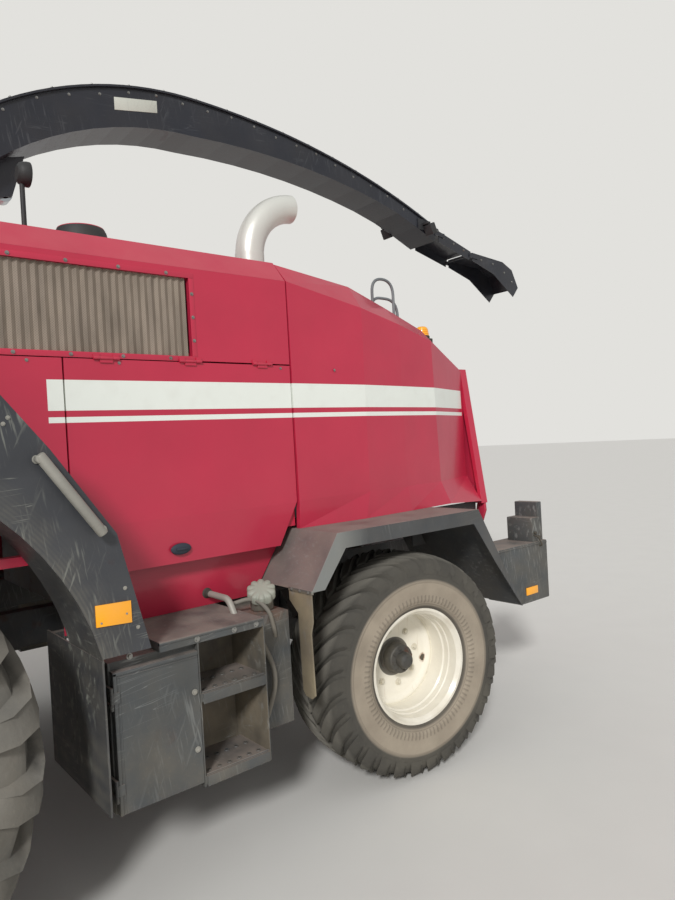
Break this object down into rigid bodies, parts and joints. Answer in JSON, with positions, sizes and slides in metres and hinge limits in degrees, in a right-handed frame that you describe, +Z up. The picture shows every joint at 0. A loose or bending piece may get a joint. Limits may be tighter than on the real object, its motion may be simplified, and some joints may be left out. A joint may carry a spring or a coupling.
{
  "type": "self-propelled forage harvester",
  "caption": "Self-propelled forage harvester with cab, long curved discharge spout, red hood with side doors, large front wheels and steered rear wheels, without a header.",
  "frame": {"origin": "on the ground, at the middle of the overall length and width", "axes": "-Y is the machine's front (driving direction), +X its left side, +Z up"},
  "size_m": [3.47, 8.05, 4.34],
  "materials": {
    "hood_red": "satin red paint, dusty",
    "frame_black": "dull black paint",
    "plate_black": "dull black paint, scuffed",
    "engine_grey": "cast, dull",
    "rim_cream": "cream paint, dusty",
    "tyre_black": "dusty tread",
    "bare_steel": "worn bright",
    "rod_chrome": "polished",
    "grille_tan": "dusty mesh",
    "exhaust_steel": "dull, heat marked",
    "cab_glass": "clear, lightly tinted",
    "seat_fabric": "woven, dark",
    "inner_plastic": "grained dark plastic"
  },
  "bodies": {
    "chassis": {"chassis_frame": "frame_black", "frame_supports": "frame_black", "front_axle": "frame_black", "rear_axle": "frame_black", "engine_block": "engine_grey", "chopper_housing": "hood_red", "hood_side_panels": "hood_red", "intake_grilles": "grille_tan", "roof_front": "hood_red", "rear_hood": "hood_red", "exhaust_pipe": "exhaust_steel", "cab_frame": "frame_black", "cab_roof": "hood_red", "cab_glass": "cab_glass", "cab_seat": "seat_fabric", "cab_console": "inner_plastic", "front_mudguards": "plate_black", "side_platforms": "plate_black", "fuel_tanks": "plate_black", "rear_fenders": "plate_black", "rear_boxes": "plate_black", "mirrors": "plate_black"},
    "front_wheel_left": {"front_rim_left": "rim_cream", "front_tyre_left": "tyre_black"},
    "front_wheel_right": {"front_rim_right": "rim_cream", "front_tyre_right": "tyre_black"},
    "steer_knuckle_left": {"knuckle_left": "frame_black"},
    "steer_knuckle_right": {"knuckle_right": "frame_black"},
    "rear_wheel_left": {"rear_rim_left": "rim_cream", "rear_tyre_left": "tyre_black"},
    "rear_wheel_right": {"rear_rim_right": "rim_cream", "rear_tyre_right": "tyre_black"},
    "tie_rod": {"tie_rod": "frame_black"},
    "feeder": {"feed_housing": "frame_black"},
    "upper_roll": {"feed_roll_upper": "bare_steel"},
    "lower_roll": {"feed_roll_lower": "bare_steel"},
    "lift_barrel_pair": {"lift_barrels": "frame_black"},
    "lift_rod_pair": {"lift_rods": "rod_chrome"},
    "rear_hood_door": {"rear_door": "hood_red"},
    "left_side_door": {"side_door_left": "hood_red"},
    "right_side_door": {"side_door_right": "hood_red"},
    "box_door": {"toolbox_door": "plate_black"},
    "driver_door": {"cab_door": "frame_black", "cab_door_glass": "cab_glass"},
    "turret": {"turret": "frame_black"},
    "spout": {"spout_arm": "frame_black"},
    "first_flap": {"flap_inner": "frame_black"},
    "second_flap": {"flap_outer": "frame_black"},
    "spout_cylinder_barrel": {"spout_barrel": "frame_black"},
    "spout_cylinder_rod": {"spout_rod": "rod_chrome"}
  },
  "joints": [
    {"name": "front_wheel_spin_left", "type": "hinge", "parent": "chassis", "child": "front_wheel_left", "pos_m": [1.335, -2.115, 0.9], "axis": [1, 0, 0], "continuous": true},
    {"name": "front_wheel_spin_right", "type": "hinge", "parent": "chassis", "child": "front_wheel_right", "pos_m": [-1.335, -2.115, 0.9], "axis": [1, 0, 0], "continuous": true},
    {"name": "steer_left", "type": "hinge", "parent": "chassis", "child": "steer_knuckle_left", "pos_m": [1, 0.925, 0.635], "axis": [0, 0, 1], "range_deg": [-23.2, 36.8]},
    {"name": "steer_right", "type": "hinge", "parent": "chassis", "child": "steer_knuckle_right", "pos_m": [-1, 0.925, 0.635], "axis": [0, 0, 1], "range_deg": [-23.2, 36.8]},
    {"name": "tie_rod_pivot", "type": "hinge", "parent": "steer_knuckle_left", "child": "tie_rod", "pos_m": [1.02368, 1.12359, 0.461], "axis": [0, 0, 1], "range_deg": [-36.8, 23.2]},
    {"name": "rear_wheel_spin_left", "type": "hinge", "parent": "steer_knuckle_left", "child": "rear_wheel_left", "pos_m": [1.32768, 0.88593, 0.635], "axis": [0.993, -0.1184, 0], "continuous": true},
    {"name": "rear_wheel_spin_right", "type": "hinge", "parent": "steer_knuckle_right", "child": "rear_wheel_right", "pos_m": [-1.32768, 0.96407, 0.635], "axis": [0.993, -0.1184, 0], "continuous": true},
    {"name": "feeder_lift", "type": "hinge", "parent": "chassis", "child": "feeder", "pos_m": [0, -2.635, 1], "axis": [-1, 0, 0], "range_deg": [-5, 18]},
    {"name": "upper_roll_spin", "type": "hinge", "parent": "feeder", "child": "upper_roll", "pos_m": [0, -3.575, 1.045], "axis": [1, 0, 0], "continuous": true},
    {"name": "lower_roll_spin", "type": "hinge", "parent": "feeder", "child": "lower_roll", "pos_m": [0, -3.635, 0.75], "axis": [1, 0, 0], "continuous": true},
    {"name": "lift_barrel_pivot", "type": "hinge", "parent": "chassis", "child": "lift_barrel_pair", "pos_m": [0, -2.085, 0.64], "axis": [-1, 0, 0], "range_deg": [-3.1, 11.1]},
    {"name": "lift_rod_slide", "type": "slide", "parent": "lift_barrel_pair", "child": "lift_rod_pair", "axis": [0, -0.9999, -0.0106], "range_m": [-0.0285, 0.1025]},
    {"name": "left_side_door_hinge", "type": "hinge", "parent": "chassis", "child": "left_side_door", "pos_m": [1.2633, -0.275, 2.384], "axis": [0, -1, 0], "range_deg": [0, 80]},
    {"name": "right_side_door_hinge", "type": "hinge", "parent": "chassis", "child": "right_side_door", "pos_m": [-1.2633, -0.275, 2.384], "axis": [0, 1, 0], "range_deg": [0, 80]},
    {"name": "rear_hood_door_hinge", "type": "hinge", "parent": "chassis", "child": "rear_hood_door", "pos_m": [0, 2.145, 2.47], "axis": [1, 0, 0], "range_deg": [0, 75]},
    {"name": "driver_door_hinge", "type": "hinge", "parent": "chassis", "child": "driver_door", "pos_m": [0.834, -2.468, 2.8], "axis": [0, 0, 1], "range_deg": [0, 85]},
    {"name": "box_door_hinge", "type": "hinge", "parent": "chassis", "child": "box_door", "pos_m": [1.606, -0.949, 0.79], "axis": [0, 0, -1], "range_deg": [0, 100]},
    {"name": "turret_slew", "type": "hinge", "parent": "chassis", "child": "turret", "pos_m": [0, -1.635, 3.04], "axis": [0, 0, 1], "range_deg": [-105, 105]},
    {"name": "spout_lift", "type": "hinge", "parent": "turret", "child": "spout", "pos_m": [0, -1.87, 3.1], "axis": [1, 0, 0], "range_deg": [0, 20]},
    {"name": "spout_cylinder_pivot", "type": "hinge", "parent": "turret", "child": "spout_cylinder_barrel", "pos_m": [0, -1.375, 3.098], "axis": [1, 0, 0], "range_deg": [0, 29]},
    {"name": "spout_cylinder_slide", "type": "slide", "parent": "spout_cylinder_barrel", "child": "spout_cylinder_rod", "axis": [0, 0.8073, 0.5901], "range_m": [0, 0.129]},
    {"name": "first_flap_hinge", "type": "hinge", "parent": "spout", "child": "first_flap", "pos_m": [0, 2.795, 3.8003], "axis": [-1, 0, 0], "range_deg": [-10, 25]},
    {"name": "second_flap_hinge", "type": "hinge", "parent": "first_flap", "child": "second_flap", "pos_m": [0, 3.273, 3.665], "axis": [-1, 0, 0], "range_deg": [-12, 30]}
  ],
  "couplings": [
    {"joint": "steer_right", "follows": "steer_left", "ratio": 1},
    {"joint": "tie_rod_pivot", "follows": "steer_left", "ratio": -1},
    {"joint": "lift_barrel_pivot", "follows": "feeder_lift", "ratio": 0.6094},
    {"joint": "lift_rod_slide", "follows": "feeder_lift", "m_per_rad": 0.3255},
    {"joint": "spout_cylinder_pivot", "follows": "spout_lift", "ratio": 1.4437},
    {"joint": "spout_cylinder_slide", "follows": "spout_lift", "m_per_rad": 0.3675},
    {"joint": "second_flap_hinge", "follows": "first_flap_hinge", "ratio": 1.2}
  ]
}
